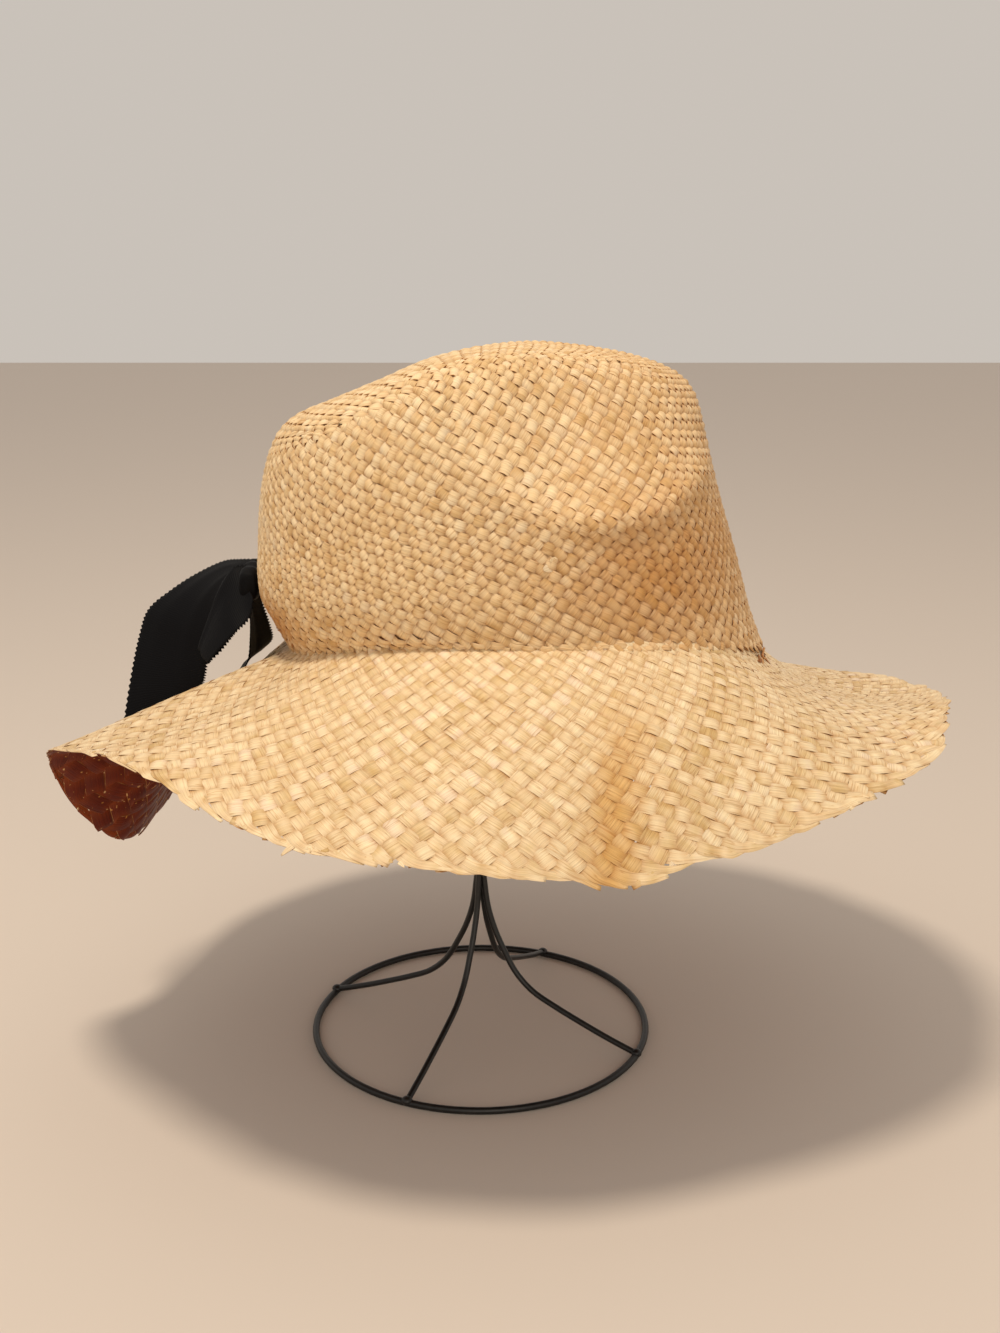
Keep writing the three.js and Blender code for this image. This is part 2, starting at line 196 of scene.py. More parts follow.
camera = bpy.data.objects.new("camera", bpy.data.cameras.new("camera"))
bpy.context.scene.collection.objects.link(camera)
camera.location = RING_MIDDLE + np.array(EYE)
camera.rotation_euler = (math.radians(90 - LOOKS_DOWN), 0, 0)
camera.data.lens = LENS
bpy.context.scene.camera = camera


# Light and floor

def linear(code):
    """A colour written as sRGB hex, as the linear colour that Blender works in."""
    parts = [int(code[i:i + 2], 16) / 255 for i in (1, 3, 5)]
    return [p / 12.92 if p <= 0.04045 else ((p + 0.055) / 1.055) ** 2.4 for p in parts] + [1.0]


def add_node(material, kind, settings=(), inputs=(), links=()):
    """A node of that kind, with its settings, socket values, and links from other nodes."""
    node = material.node_tree.nodes.new("ShaderNode" + kind)
    for name, value in dict(settings).items():
        setattr(node, name, value)
    for name, value in dict(inputs).items():
        node.inputs[name].default_value = value
    for name, output in dict(links).items():
        material.node_tree.links.new(output, node.inputs[name])
    return node


def new_material(name, **sockets):
    """A material with one shader whose constant sockets are set."""
    material = bpy.data.materials.new(name)
    material.use_nodes = True
    shader = material.node_tree.nodes["Principled BSDF"]
    for socket, value in sockets.items():
        shader.inputs[socket.replace("_", " ")].default_value = value
    return material, shader


def colour_steps(material, factor, stops):
    """A ramp of sRGB colours."""
    ramp = add_node(material, "ValToRGB", links={"Fac": factor})
    elements = ramp.color_ramp.elements
    while len(elements) < len(stops):
        elements.new(0.5)
    for element, (place, code) in zip(elements, stops):
        element.position = place
        element.color = linear(code)
    return ramp.outputs["Color"]


def soft_light(name, place, aim, size, watts, colour):
    """A round lamp, its size and place in metres, turned towards its aim."""
    lamp = bpy.data.lights.new(name, "AREA")
    lamp.shape, lamp.size, lamp.energy, lamp.color = "DISK", size, watts, linear(colour)[:3]
    light = bpy.data.objects.new(name, lamp)
    bpy.context.scene.collection.objects.link(light)
    light.location = place
    light.rotation_euler = (light.location - Vector(aim)).to_track_quat("Z", "Y").to_euler()


world = bpy.data.worlds.new("pale_room")
bpy.context.scene.world = world
world.use_nodes = True
world.node_tree.nodes["Background"].inputs["Color"].default_value = linear("#EFE6DC")
world.node_tree.nodes["Background"].inputs["Strength"].default_value = 0.68
bpy.context.scene.view_settings.view_transform = "Standard"
soft_light("ceiling_light", (-0.2, -0.32, 1.52), (0, 0, 0.2), 0.25, 12, "#FFF1DC")
soft_light("fill_light", (0.3, -1.8, 0.7), (0, 0, 0.2), 1.0, 5, "#FFF1DC")

bpy.ops.object.select_all(action="DESELECT")
bpy.ops.mesh.primitive_plane_add(size=6)
floor = bpy.context.object
floor.name = "floor"
# Matt painted plaster: it shows the hat's shadow and no reflection
plaster, shader = new_material("pale_matt_floor", Roughness=0.9)
shader.inputs["Base Color"].default_value = linear("#D9CDC2")
floor.data.materials.append(plaster)


# Surfaces of the straw

def read_table(rows, place, turn=None):
    """Values on a smooth curve through the rows of a table, whose first column is the place."""
    rows = np.array(rows, float)
    if turn:
        before, after = rows[-2:].copy(), rows[:2].copy()
        before[:, 0] -= turn
        after[:, 0] += turn
        rows = np.vstack([before, rows, after])
    at, values = rows[:, 0], rows[:, 1:]
    slope = np.empty_like(values)
    slope[1:-1] = (values[2:] - values[:-2]) / (at[2:] - at[:-2])[:, None]
    slope[0] = (values[1] - values[0]) / (at[1] - at[0])
    slope[-1] = (values[-1] - values[-2]) / (at[-1] - at[-2])
    place = np.clip(np.asarray(place, float), at[0], at[-1])
    i = np.clip(np.searchsorted(at, place, side="right") - 1, 0, len(at) - 2)
    span = (at[i + 1] - at[i])[..., None]
    t = ((place - at[i]) / (at[i + 1] - at[i]))[..., None]
    return ((2 * t**3 - 3 * t**2 + 1) * values[i] + (t**3 - 2 * t**2 + t) * span * slope[i]
            + (3 * t**2 - 2 * t**3) * values[i + 1] + (t**3 - t**2) * span * slope[i + 1])


def edge_height(heights, angle):
    """Height of an edge that dips to the front and back of the hat."""
    c = np.cos(angle)
    end = heights["front"] * (1 + c) / 2 + heights["back"] * (1 - c) / 2
    return heights["side"] + (end - heights["side"]) * np.abs(c) ** 3


def soft_ramp(distance, roundness):
    """Nothing below 0 and the distance itself above it, with a rounded turn between."""
    return roundness * np.logaddexp(0, distance / roundness)


def smooth_step(value, start, end):
    """0 before the start, 1 after the end, and a smooth rise between."""
    t = np.clip((value - start) / (end - start), 0, 1)
    return t * t * (3 - 2 * t)


def crown_point(angle, share):
    """The crown's outer surface: share 0 is its lower edge and 1 the middle of its top."""
    run = share * (WALL_RUN + TOP_RUN)
    inward = soft_ramp(run - WALL_RUN, SHOULDER_ROUND)
    top_run = soft_ramp(TOP_RUN, SHOULDER_ROUND)
    up = (run - inward) / (WALL_RUN + TOP_RUN - top_run)
    back, front, half_width = np.moveaxis(read_table(CROWN_SECTIONS, up), -1, 0)
    scale = 1 - inward / top_run
    x = (front + back) / 2 + (front - back) / 2 * np.cos(angle) * scale
    y = half_width * np.sin(angle) * scale
    top = read_table(TOP_LINE, x)[..., 0] - TOP_TILT * y - TOP_SIDE_DROP * (y / TOP_HALF_WIDTH) ** 2
    edge = edge_height(CROWN_EDGE, angle)
    z = edge + up * (top - edge)
    above = z - read_table(PINCH_LINE, x)[..., 0]
    growth = smooth_step(x, PINCH_GROWTH["from_x"], PINCH_GROWTH["to_x"])
    growth = PINCH_GROWTH["least"] + (1 - PINCH_GROWTH["least"]) * growth
    press = soft_ramp(above, PINCH["round"]) / PINCH["rise"]
    press = growth * (1 - np.exp(-PINCH["hollow"] * press)) / (1 - math.exp(-PINCH["hollow"]))
    lip = np.exp(-(((above + PINCH_LIP["below"]) / PINCH_LIP["half"]) ** 2)) \
        * smooth_step(x, PINCH_LIP["from_x"], PINCH_LIP["to_x"])
    side = np.tanh(y / PINCH["middle_blend"])
    return np.stack([x, y - side * (press * PINCH["inward"] - lip * PINCH_LIP["outward"]),
                     z - np.abs(side) * press * PINCH["downward"]], -1)


def brim_point(angle, share):
    """The brim's upper surface: share 0 is its fold under the crown and 1 the rim."""
    turned = np.degrees(angle) % 360
    width, at_fold, at_rim = np.moveaxis(read_table(BRIM, turned, 360), -1, 0)
    at_fold, at_rim = np.radians(at_fold), np.radians(at_rim)
    out = width * (np.cos(at_fold) * share + (np.cos(at_rim) - np.cos(at_fold)) * share**2 / 2)
    down = width * (np.sin(at_fold) * share + (np.sin(at_rim) - np.sin(at_fold)) * share**2 / 2)
    for place, half, height in RIPPLES:
        away = (turned - place + 180) % 360 - 180
        down = down - height * np.exp(-((away / half) ** 2)) * np.abs(share) ** 1.5
    middle = (FOLD_OVAL["front"] + FOLD_OVAL["back"]) / 2
    half_length = (FOLD_OVAL["front"] - FOLD_OVAL["back"]) / 2
    half_width = FOLD_OVAL["half_width"]
    across, along = half_width * np.cos(angle), half_length * np.sin(angle)
    size = np.hypot(across, along)
    return np.stack([middle + half_length * np.cos(angle) + across / size * out,
                     half_width * np.sin(angle) + along / size * out,
                     edge_height(BRIM_FOLD, angle) - down], -1)


def crown_straw_point(angle, share):
    """The crown, and below its lower edge the turn of the straw in to the brim's fold."""
    edge = crown_point(angle, np.zeros_like(share))
    to_fold = brim_point(angle, np.zeros_like(share)) - edge
    below = np.clip(-share * EDGE_RUN / np.linalg.norm(to_fold, axis=-1), 0, 1.2)[..., None]
    return np.where(share[..., None] >= 0, crown_point(angle, np.maximum(share, 0)),
                    edge + to_fold * below)


def brim_straw_point(angle, share):
    """The brim from its rim in to the fold, and above the fold its collar inside the crown."""
    inside = crown_point(angle, COLLAR_TUCK + 0 * share)
    middle = np.array([(CROWN_SECTIONS[0][1] + CROWN_SECTIONS[0][2]) / 2, 0])
    inside[..., :2] = middle + (inside[..., :2] - middle) * COLLAR_SIZE
    fold = brim_point(angle, np.zeros_like(share))
    lift = np.clip(-share / COLLAR_SHARE, 0, 1)[..., None]
    collar = fold + (inside - fold) * lift
    return np.where(share[..., None] >= 0, brim_point(angle, np.maximum(share, 0)), collar)


def unit(vectors):
    """Vectors scaled to a length of 1."""
    return vectors / np.linalg.norm(vectors, axis=-1, keepdims=True)


def run_along(points):
    """How far along a line each of its points lies."""
    return np.concatenate([[0], np.cumsum(np.linalg.norm(np.diff(points, axis=0), axis=1))])


# Small steps, in radians and shares of a surface, that its slope is measured over
ANGLE_STEP, SHARE_STEP = 0.004, 0.006


def outward(surface, angle, share, sign):
    """Unit normals of a surface, on its outer side."""
    share = np.minimum(share, 0.98)
    round_it = surface(angle + ANGLE_STEP, share) - surface(angle - ANGLE_STEP, share)
    over_it = surface(angle, share + SHARE_STEP) - surface(angle, share - SHARE_STEP)
    return unit(sign * np.cross(round_it, over_it))


# Strands

# A strand's section has six points: where each lies across it from -1 to 1, its height as a share
# of half the thickness, and how much painted shade it takes, full on its underside and a little
# at its upper edges
SECTION_ACROSS = np.array([-0.95, -1.0, 0.0, 1.0, 0.95, 0.0])
SECTION_HEIGHT = np.array([-0.3, 0.55, 1.0, 0.55, -0.3, -0.3])
SECTION_UNDER = np.array([1.0, 0.12, 0.0, 0.12, 1.0, 1.0])
CORNERS = len(SECTION_ACROSS)
UPPER_EDGES, UNDER_MIDDLE = (1, 3), 5
# Every strand has a number, which sets its own fibre pattern: 50 for each corner of the crown, and
# the first numbers of the brim's strands and of the loose ends
CORNER_NUMBERS, FIRST_BRIM, FIRST_LOOSE = 50, 300, 700
# Painted shade on the underside of the straw: at its full depth only at the back of the brim
UNDERSIDE_SHADE = {"from_x": -90, "over": 30, "least": 0.15}


def strand(line, normals, half_width, half_thickness, number, tint, depth, brown_and_shade):
    """One flat strand of straw along a line: rings of points, and the facts its finish reads."""
    along = np.gradient(line, axis=0)
    slip = np.sum(normals * along, -1) / np.sum(along * along, -1)
    normals = unit(normals - along * slip[:, None])
    across = unit(np.cross(along, normals))
    rings = (line[:, None] + across[:, None] * (half_width[:, None] * SECTION_ACROSS)[..., None]
             + normals[:, None] * (half_thickness[:, None] * SECTION_HEIGHT)[..., None])
    shape = (len(line), CORNERS)
    grain = np.stack([np.broadcast_to(run_along(line)[:, None], shape),
                      half_width[:, None] * SECTION_ACROSS,
                      np.full(shape, float(number))], -1)
    straw = np.stack([np.full(shape, tint), np.broadcast_to(depth[:, None], shape),
                      np.broadcast_to(brown_and_shade[:, None], shape),
                      np.broadcast_to(SECTION_UNDER, shape)], -1)
    return rings, grain, straw


def strand_faces(count, first):
    """The sides and the two ends of a strand whose first point has that number."""
    ring = first + np.arange(count - 1)[:, None] * CORNERS
    here = np.arange(CORNERS)
    after = (here + 1) % CORNERS
    sides = np.stack([ring + here, ring + after, ring + CORNERS + after, ring + CORNERS + here], -1)
    start = (first + here)[::-1]
    end = first + (count - 1) * CORNERS + here
    return sides.reshape(-1, 4).tolist() + [start.tolist(), end.tolist()]


def make_piece(name, points, faces, material, facts):
    """A named piece from points in millimetres, smooth shaded, riding with the hat."""
    mesh = bpy.data.meshes.new(name)
    mesh.from_pydata((points * MM + RING_MIDDLE).tolist(), [], faces)
    mesh.validate()
    mesh.shade_smooth()
    for fact, values in facts.items():
        kind = "FLOAT_VECTOR" if values.shape[1] == 3 else "FLOAT_COLOR"
        layer = mesh.attributes.new(fact, kind, "POINT")
        layer.data.foreach_set("vector" if kind == "FLOAT_VECTOR" else "color", values.ravel())
    piece = bpy.data.objects.new(name, mesh)
    bpy.context.scene.collection.objects.link(piece)
    mesh.materials.append(material)
    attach(piece, "root")
    return piece


def crisp_edges(mesh):
    """Marks the two upper edges of every strand sharp, as split raffia has them."""
    ends = np.zeros(len(mesh.edges) * 2, dtype=np.int32)
    mesh.edges.foreach_get("vertices", ends)
    low, high = np.sort(ends.reshape(-1, 2), axis=1).T
    sharp = (high - low == CORNERS) & np.isin(low % CORNERS, UPPER_EDGES)
    layer = mesh.attributes.new("sharp_edge", "BOOLEAN", "EDGE")
    layer.data.foreach_set("value", sharp)


def join_strands(name, strands, material):
    """One piece of many strands."""
    faces, first = [], 0
    for rings, grain, straw in strands:
        faces += strand_faces(len(rings), first)
        first += len(rings) * CORNERS
    points = np.concatenate([rings.reshape(-1, 3) for rings, grain, straw in strands])
    facts = {"grain": np.concatenate([grain.reshape(-1, 3) for rings, grain, straw in strands]),
             "straw": np.concatenate([straw.reshape(-1, 4) for rings, grain, straw in strands])}
    # Painted underside shade: away from the back of the brim it is lighter along each strand's
    # under middle
    under = slice(UNDER_MIDDLE, None, CORNERS)
    back = (UNDERSIDE_SHADE["from_x"] - points[under, 0]) / UNDERSIDE_SHADE["over"]
    facts["straw"][under, 3] *= np.clip(back, UNDERSIDE_SHADE["least"], 1)
    piece = make_piece(name, points, faces, material, facts)
    crisp_edges(piece.data)
    return piece


def wander(count, size, smoothness):
    """A smooth random wobble along a strand."""
    knots = chance.normal(0, size, max(3, int(count / smoothness) + 2))
    return np.interp(np.linspace(0, len(knots) - 1, count), np.arange(len(knots)), knots)


# Finishes

def straw_finish(name, stops, brown_and_shade, shade, inside, roughness):
    """Dried raffia palm, split and plaited: a dull waxy face with fibre lines along each strand,
    every strand a little paler, pinker or greener than the next, and painted shade where it dips."""
    material, shader = new_material(name, Roughness=roughness, IOR=1.5)
    shader.inputs["Specular IOR Level"].default_value = 0.22
    shader.inputs["Sheen Weight"].default_value = 0.04
    shader.inputs["Sheen Roughness"].default_value = 0.5
    link = material.node_tree.links.new
    straw = add_node(material, "Attribute", {"attribute_name": "straw"})
    grain = add_node(material, "Attribute", {"attribute_name": "grain"})
    parts = add_node(material, "SeparateColor", links={"Color": straw.outputs["Color"]})
    tint, depth, browned = (parts.outputs[n] for n in ("Red", "Green", "Blue"))
    # Fibre lines 0.5 mm apart and about 12 mm long; real ones are finer than the render shows
    stretch = add_node(material, "VectorMath", {"operation": "MULTIPLY"},
                       links={0: grain.outputs["Vector"]})
    stretch.inputs[1].default_value = (0.08, 2.0, 3.7)
    fibres = add_node(material, "TexNoise", inputs={"Scale": 1.0, "Detail": 2.0, "Roughness": 0.6},
                      links={"Vector": stretch.outputs["Vector"]})
    # Splits along a strand where a leaf has opened, about 1 mm apart and 25 mm long
    spread = add_node(material, "VectorMath", {"operation": "MULTIPLY"},
                      links={0: grain.outputs["Vector"]})
    spread.inputs[1].default_value = (0.04, 0.8, 9.1)
    rifts = add_node(material, "TexNoise", inputs={"Scale": 1.0, "Detail": 1.0},
                     links={"Vector": spread.outputs["Vector"]})
    split = colour_steps(material, rifts.outputs["Fac"],
                         [(0.47, "#FFFFFF"), (0.5, "#CDAE86"), (0.53, "#FFFFFF")])
    # Blotches 5 mm long where a leaf dried unevenly
    blot = add_node(material, "VectorMath", {"operation": "MULTIPLY"},
                    links={0: grain.outputs["Vector"]})
    blot.inputs[1].default_value = (0.2, 0.15, 5.3)
    blotches = add_node(material, "TexNoise", inputs={"Scale": 1.0, "Detail": 1.0},
                        links={"Vector": blot.outputs["Vector"]})
    moved = add_node(material, "MapRange", inputs={"From Min": 0.25, "From Max": 0.75,
                                                   "To Min": -0.28, "To Max": 0.28},
                     links={"Value": blotches.outputs["Fac"]})
    place = add_node(material, "Math", {"operation": "ADD", "use_clamp": True},
                     links={0: tint, 1: moved.outputs["Result"]})
    base = colour_steps(material, place.outputs["Value"], stops)
    # Browning and painted shade: the browning colour is mixed in by the third fact, which holds
    # real browning and random tone as well as painted shadow under the pinch and on the brim's fold
    toned = add_node(material, "MixRGB", {"blend_type": "MIX"}, {"Color2": linear(brown_and_shade)},
                     {"Fac": browned, "Color1": base})
    line_dark = add_node(material, "MapRange", inputs={"From Min": 0.35, "From Max": 0.65,
                                                       "To Min": 0.86, "To Max": 1.04},
                         links={"Value": fibres.outputs["Fac"]})
    lined = add_node(material, "MixRGB", {"blend_type": "MULTIPLY"}, {"Fac": 1.0},
                     {"Color1": toned.outputs["Color"], "Color2": line_dark.outputs["Result"]})
    opened = add_node(material, "MixRGB", {"blend_type": "MULTIPLY"}, {"Fac": 0.55},
                      {"Color1": lined.outputs["Color"], "Color2": split})
    # Painted shade: the shade colour is multiplied in where a strand dips under the others
    dip = add_node(material, "Math", {"operation": "POWER"}, {1: 1.3}, {0: depth})
    shaded = add_node(material, "MixRGB", {"blend_type": "MULTIPLY"}, {"Color2": linear(shade)},
                      {"Fac": dip.outputs["Value"], "Color1": opened.outputs["Color"]})
    # Painted pinholes of light in the plait, seen from inside: pale specks in the painted underside
    # shade
    painted_pinholes = add_node(material, "TexNoise", inputs={"Scale": 0.55, "Detail": 0.0},
                     links={"Vector": grain.outputs["Vector"]})
    dark_side = colour_steps(material, painted_pinholes.outputs["Fac"], [(0.77, inside), (0.8, "#FFF6E8")])
    # Painted shade in the inside colour, on each strand's underside and a little on its upper edges
    inner = add_node(material, "MixRGB", {"blend_type": "MULTIPLY"}, {},
                     {"Fac": straw.outputs["Alpha"], "Color1": shaded.outputs["Color"],
                      "Color2": dark_side})
    link(inner.outputs["Color"], shader.inputs["Base Color"])
    bump = add_node(material, "Bump", inputs={"Strength": 0.7, "Distance": 0.4 * MM},
                    links={"Height": fibres.outputs["Fac"]})
    link(bump.outputs["Normal"], shader.inputs["Normal"])
    return material


# Each finish: tint stops, a browning colour that also carries painted shadow, the painted shade
# where strands dip, and the painted underside shade
crown_straw = straw_finish(
    "plaited_raffia_of_the_crown",
    [(0.0, "#CEA76C"), (0.3, "#E8C590"), (0.55, "#F7D9A9"), (0.8, "#FEE6BB"), (1.0, "#F6E0BC")],
    "#C6893F", "#A87440", "#8E5428", 0.55)
brim_straw = straw_finish(
    "plaited_raffia_of_the_brim",
    [(0.0, "#D6B47A"), (0.3, "#E8CC9C"), (0.55, "#F2D8AE"), (0.8, "#FAE6BE"), (1.0, "#F6DFC0")],
    "#D9A658", "#C29250", "#8E440A", 0.5)
hem_straw = straw_finish(
    "browned_raffia_at_the_hem",
    [(0.0, "#A0622E"), (0.3, "#B67A40"), (0.55, "#C98F54"), (0.8, "#DAA66A"), (1.0, "#E6BC86")],
    "#9A5E2E", "#B07C4C", "#B0804E", 0.6)


# Crown

# Half the height of the plait's weave, half a strand's thickness, and how deep its middle lies
CROWN_LIFT, CROWN_HALF_THICKNESS, CROWN_DEPTH = 0.72, 0.62, 1.05
# How far the plait leans round the crown for each row down at the shoulder, round the hat
LEAN = [
    # angle, half strands for each row
    (0, 0.35), (50, 0.05), (180, 0.1), (215, 0.2), (250, 0.22), (285, 0.32), (310, 0.5),
    (335, 0.45),
]
LEAN_ROWS = 16
# Which way's strands stand higher where they cross: above 0 those that run down to the right
PROUD = [
    # angle, share of the lift
    (0, -0.1), (90, 0), (180, 0), (225, 0.17), (270, 0.14), (292, 0), (315, -0.14), (340, -0.1),
]
# Rows that a strand may run past the crown's lower edge before it is cut
SPARE_ROWS = 8
# Rows down from the shoulder over which the strands spread evenly round the wall
EVEN_ROWS = 14
# The crown is coloured browner towards the front, and in these patches: painted shadow under
# the pinch's ridge, and browned straw at the hem
WARM_FRONT = {"from_x": -20, "over": 120, "strength": 0.3}
CROWN_PATCHES = [
    # x, height, half length, half height, strength
    # Painted shadow under the ridge of the pinch
    (66, 222, 34, 24, 0.55),
    # Browned straw at the hem
    (-84, 190, 14, 12, 0.95),
]
# The gap to the next strand is measured over this much of a half strand
MEASURE = 0.2


def strand_gap(point, beside):
    """Unit directions along a strand, and how far from it the next strand lies, from points
    MEASURE of a half strand beside it."""
    along = unit(np.gradient(point, axis=0))
    beside = beside - point
    beside = beside - along * np.sum(beside * along, -1, keepdims=True)
    return along, np.linalg.norm(beside, axis=1) * (2 / MEASURE)


def on_crown(corner, start, step):
    """Angle and share of the hat for a place on a crown strand. The strand climbs the wall, cuts
    across one corner of the square-plaited top, and goes down the next wall."""
    over_top = TOP_SIDE - start
    x, y = (TOP_HALF - step) / TOP_HALF, (start - TOP_HALF + step) / TOP_HALF
    x, y = np.clip(x, -1, 1), np.clip(y, -1, 1)
    round_x, round_y = x * np.sqrt(1 - y * y / 2), y * np.sqrt(1 - x * x / 2)
    top_angle = np.arctan2(round_y, round_x) + corner * math.pi / 2
    top_share = 1 - (1 - SHOULDER_SHARE) * np.hypot(round_x, round_y)
    row = np.where(step < 0, -step, step - over_top)
    column = np.where(step < 0, TOP_SIDE * corner + start + step,
                      TOP_SIDE * (corner + 2) - start + step - over_top)
    side = np.floor(column / TOP_SIDE)
    along = np.clip((column - TOP_SIDE * side) / TOP_HALF - 1, -1, 1)
    square_angle = side * math.pi / 2 + np.arcsin(along / math.sqrt(2))
    even_angle = column / TOP_SIDE * math.pi / 2 - math.pi / 4
    wall_angle = square_angle + (even_angle - square_angle) * smooth_step(row, 0, EVEN_ROWS)
    lean = read_table(LEAN, np.degrees(wall_angle) % 360, 360)[..., 0]
    lean = lean * LEAN_ROWS * (1 - np.exp(-soft_ramp(row - 2, 2) / LEAN_ROWS))
    wall_angle = wall_angle + lean * (math.pi / 2 / TOP_SIDE)
    wall_share = SHOULDER_SHARE * read_table(ROW_HEIGHT, row / WALL_ROWS)[..., 0]
    on_top = (step >= 0) & (step <= over_top)
    top_angle = np.where(top_angle < wall_angle - math.pi, top_angle + 2 * math.pi, top_angle)
    angle = np.where(on_top, top_angle, wall_angle)
    share = np.where(on_top, top_share, wall_share)
    down = np.clip((1 - share) / (1 - SHOULDER_SHARE), 0, 1)
    return angle, share + PLAIT_TILT * np.cos(angle) * down


def crown_brown_and_shade(points):
    """How browned the crown is: to the front, with painted shadow below the pinch, and at the hem.
    """
    x, y, z = np.moveaxis(points, -1, 0)
    brown_and_shade = np.clip((x - WARM_FRONT["from_x"]) / WARM_FRONT["over"], 0, 1) * WARM_FRONT["strength"]
    for at_x, at_z, half_length, half_height, strength in CROWN_PATCHES:
        away = ((x - at_x) / half_length) ** 2 + ((z - at_z) / half_height) ** 2
        brown_and_shade = brown_and_shade + np.exp(-away) * strength
    return np.clip(brown_and_shade, 0, 1)


def crown_strands(corner):
    """The strands that cut across one corner of the crown's square-plaited top."""
    strands = []
    for start in range(1, TOP_SIDE, 2):
        over_top = TOP_SIDE - start
        steps = (over_top + 2 * (WALL_ROWS + SPARE_ROWS)) * STRAND_STEPS + 1
        step = np.linspace(-WALL_ROWS - SPARE_ROWS, over_top + WALL_ROWS + SPARE_ROWS, steps)
        angle, share = on_crown(corner, start, step)
        drop = np.linalg.norm(crown_point(angle, 0 * angle) - brim_point(angle, 0 * angle), axis=-1)
        run_down = np.clip(read_table(RUN_DOWN, np.degrees(angle) % 360, 360)[..., 0], 0, 1)
        # Each strand is cut a little past where the crown's plait ends
        kept = share > -(run_down * drop + chance.uniform(0.4, 1.2)) / EDGE_RUN
        step, angle, share = step[kept], angle[kept], share[kept]
        point = crown_straw_point(angle, share)
        normal = outward(crown_straw_point, angle, share, 1)
        beside = crown_straw_point(*on_crown(corner, start + MEASURE, step))
        along, apart = strand_gap(point, beside)
        apart = np.clip(apart, 2, 6.5)
        apart = np.convolve(np.pad(apart, 4, "edge"), np.ones(9) / 9, "valid")
        # Over and under the strands of the other way, one after the other
        wave = np.cos(math.pi * step)
        on_top = np.clip(share * 3 - 1.6, 0, 1)
        half_width = apart / 2 * (1.07 + 0.05 * on_top + 0.02 * wave + chance.normal(0, 0.05)
                                  + wander(len(step), 0.04, 8))
        way = np.clip((step - over_top / 2) / (over_top / 2 + 2), -1, 1)
        proud = read_table(PROUD, np.degrees(angle) % 360, 360)[..., 0] * way
        lift = wave * (1 + wander(len(step), 0.08, 6)) + proud
        lift = CROWN_LIFT * (1 - 0.4 * on_top) * lift - CROWN_DEPTH
        lift = lift * np.clip(1 + (share * EDGE_RUN + drop[kept]) / 3, 0.3, 1)
        across = np.cross(along, normal)
        line = point + normal * lift[:, None] + across * wander(len(step), 0.14, 7)[:, None]
        half_thickness = CROWN_HALF_THICKNESS * (1 + 0.3 * wave)
        tint = np.clip(chance.normal(0.55, 0.13), 0, 1)
        brown_and_shade = np.clip(crown_brown_and_shade(line) + chance.normal(0, 0.08), 0, 1)
        strands.append(strand(line, normal, half_width, half_thickness,
                              corner * CORNER_NUMBERS + start, tint, (1 - wave) / 2, brown_and_shade))
    return strands


CROWN_PARTS = ("front_left", "back_left", "back_right", "front_right")
for corner, part in enumerate(CROWN_PARTS):
    straw = join_strands("crown_plait_" + part, crown_strands(corner), crown_straw)
    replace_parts(straw, "crown")


# Brim

# As for the crown: the weave's half height, a strand's half thickness and how deep its middle lies
BRIM_LIFT, BRIM_HALF_THICKNESS, BRIM_DEPTH = 0.32, 0.3, 0.8
# How far the brim's strands turn round the hat for each row out, in half strands
BRIM_TURN = [
    # angle, half strands
    (0, 0.36), (60, 0.25), (240, 0.2), (290, 0.3), (320, 0.43), (345, 0.42),
]
BRIM_STEPS = 4
# How far a strand's end runs along the rim, and how far out it still goes, in half strands
RIM_RUN, RIM_REACH = 2.8, 0.8
# The rows lie a little wider apart towards the rim
ROW_SPREAD = 1.08
# How many of the tucked ends stick out further than the rest, as a share
LONG_TIPS = 0.15
# The flank of the fold near the front, with painted shade: its middle at y, and how it leans with y
FLANK = {"x": 50, "y": -120, "lean": 0.2, "half": 9, "from_y": -85, "over": 40, "strength": 0.8}


def on_brim(column, row):
    """Angle and share of the brim for a place on one of its strands."""
    angle = column / BRIM_AROUND * 2 * math.pi
    turn = read_table(BRIM_TURN, np.degrees(angle) % 360, 360)[..., 0]
    angle = angle + turn * row * (2 * math.pi / BRIM_AROUND)
    out = (np.maximum(row, 0) / BRIM_ROWS) ** ROW_SPREAD * RIM_SHARE
    return angle, np.where(row >= 0, out, row / COLLAR_ROWS * COLLAR_SHARE)


def brim_flank_shade(points):
    """Painted shade on the flank of the brim's fold near the front."""
    x, y, z = np.moveaxis(points, -1, 0)
    middle = FLANK["x"] + (y - FLANK["y"]) * FLANK["lean"]
    near_rim = np.clip((FLANK["from_y"] - y) / FLANK["over"], 0, 1)
    return np.exp(-(((x - middle) / FLANK["half"]) ** 2)) * near_rim * FLANK["strength"]


